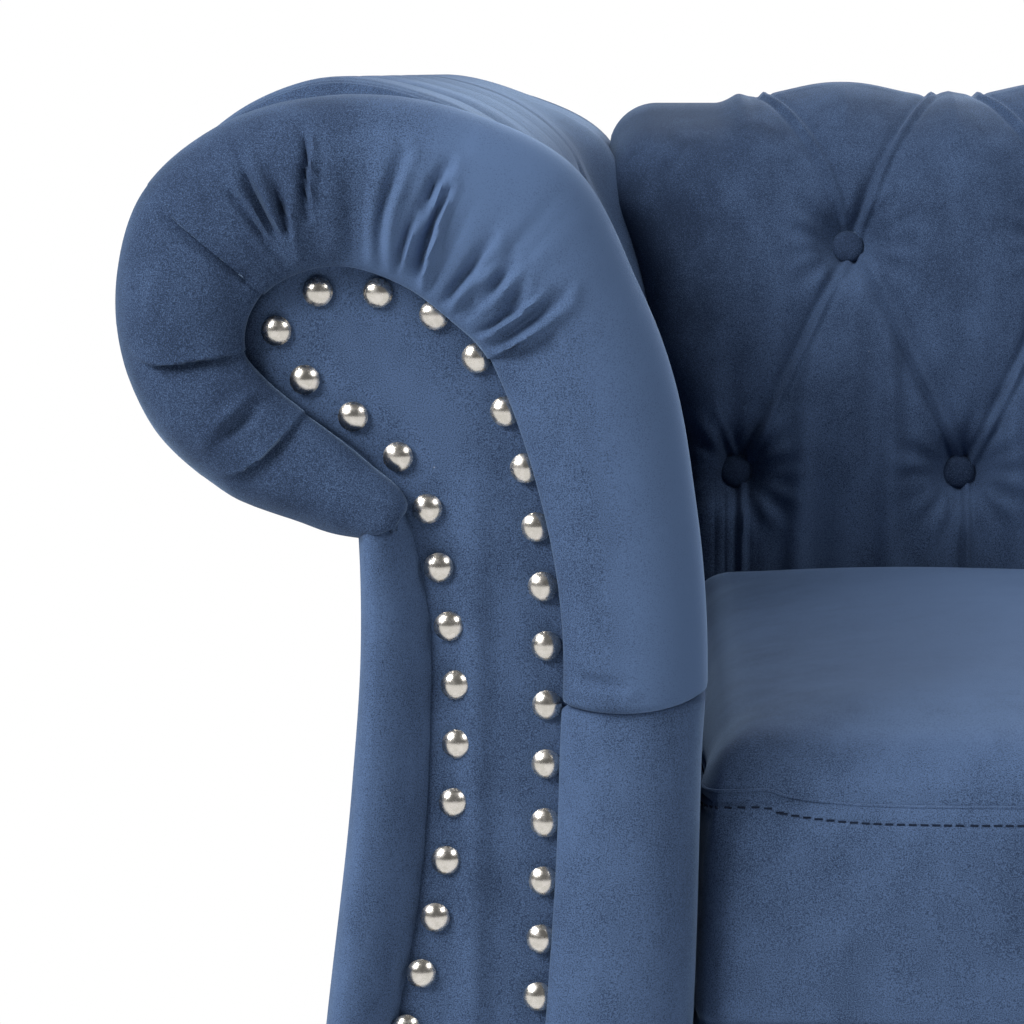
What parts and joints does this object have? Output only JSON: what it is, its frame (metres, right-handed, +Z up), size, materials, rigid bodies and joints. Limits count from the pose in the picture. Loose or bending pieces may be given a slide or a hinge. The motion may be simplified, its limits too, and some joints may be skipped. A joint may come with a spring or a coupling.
{
  "type": "chesterfield sofa",
  "caption": "Tufted scroll-arm sofa in blue velvet, with nail-trimmed arm fronts, a buttoned back, loose boxed seat cushions that lift off and turned wooden feet.",
  "frame": {"origin": "on the floor, under the middle of the sofa", "axes": "+X to the right when facing the sofa's front, +Y from front to back, +Z up"},
  "size_m": [2.14, 0.86, 0.711],
  "materials": {
    "velvet": "blue cut-pile velvet",
    "foam": "upholstery foam",
    "lining": "black non-woven lining",
    "frame_wood": "raw frame timber",
    "foot_wood": "dark stained and lacquered",
    "nickel": "polished nickel plate",
    "steel": "zinc plated",
    "glide_plastic": "matt black"
  },
  "bodies": {
    "frame": {"left_arm_boards": "frame_wood", "left_arm_rails": "frame_wood", "left_arm_mount_rail": "frame_wood", "left_arm_padding": "foam", "left_arm_cover": "velvet", "left_arm_outer_padding": "foam", "left_arm_outer_cover": "velvet", "left_arm_lower_padding": "foam", "left_arm_lower_cover": "velvet", "left_arm_buttons": "velvet", "left_arm_facing": "velvet", "left_arm_rear_facing": "velvet", "left_arm_nails": "nickel", "right_arm_boards": "frame_wood", "right_arm_rails": "frame_wood", "right_arm_mount_rail": "frame_wood", "right_arm_padding": "foam", "right_arm_cover": "velvet", "right_arm_outer_padding": "foam", "right_arm_outer_cover": "velvet", "right_arm_lower_padding": "foam", "right_arm_lower_cover": "velvet", "right_arm_buttons": "velvet", "right_arm_facing": "velvet", "right_arm_rear_facing": "velvet", "right_arm_nails": "nickel", "seat_front_rail": "frame_wood", "seat_rear_rails": "frame_wood", "seat_end_rails": "frame_wood", "seat_corner_blocks": "frame_wood", "seat_cross_rails": "frame_wood", "arm_bolts": "steel", "seat_springs": "steel", "spring_clips": "steel", "back_brackets": "steel", "deck_foam": "foam", "deck_cover": "lining", "front_border_padding": "foam", "front_border_cover": "velvet", "dust_cover": "lining", "front_left_foot": "foot_wood", "front_right_foot": "foot_wood", "rear_left_foot": "foot_wood", "rear_right_foot": "foot_wood", "centre_feet": "foot_wood", "foot_bolts": "steel", "foot_glides": "glide_plastic", "back_rails": "frame_wood", "back_posts": "frame_wood", "back_webbing": "lining", "back_padding": "foam", "back_cover": "velvet", "back_outer_cover": "velvet", "back_buttons": "velvet"},
    "left_cushion": {"left_cushion_cover": "velvet", "left_cushion_core": "foam"},
    "centre_cushion": {"centre_cushion_cover": "velvet", "centre_cushion_core": "foam"},
    "right_cushion": {"right_cushion_cover": "velvet", "right_cushion_core": "foam"}
  },
  "joints": [
    {"name": "left_cushion_lift", "type": "slide", "parent": "frame", "child": "left_cushion", "axis": [0, 0, 1], "range_m": [0, 0.45]},
    {"name": "centre_cushion_lift", "type": "slide", "parent": "frame", "child": "centre_cushion", "axis": [0, 0, 1], "range_m": [0, 0.45]},
    {"name": "right_cushion_lift", "type": "slide", "parent": "frame", "child": "right_cushion", "axis": [0, 0, 1], "range_m": [0, 0.45]}
  ]
}
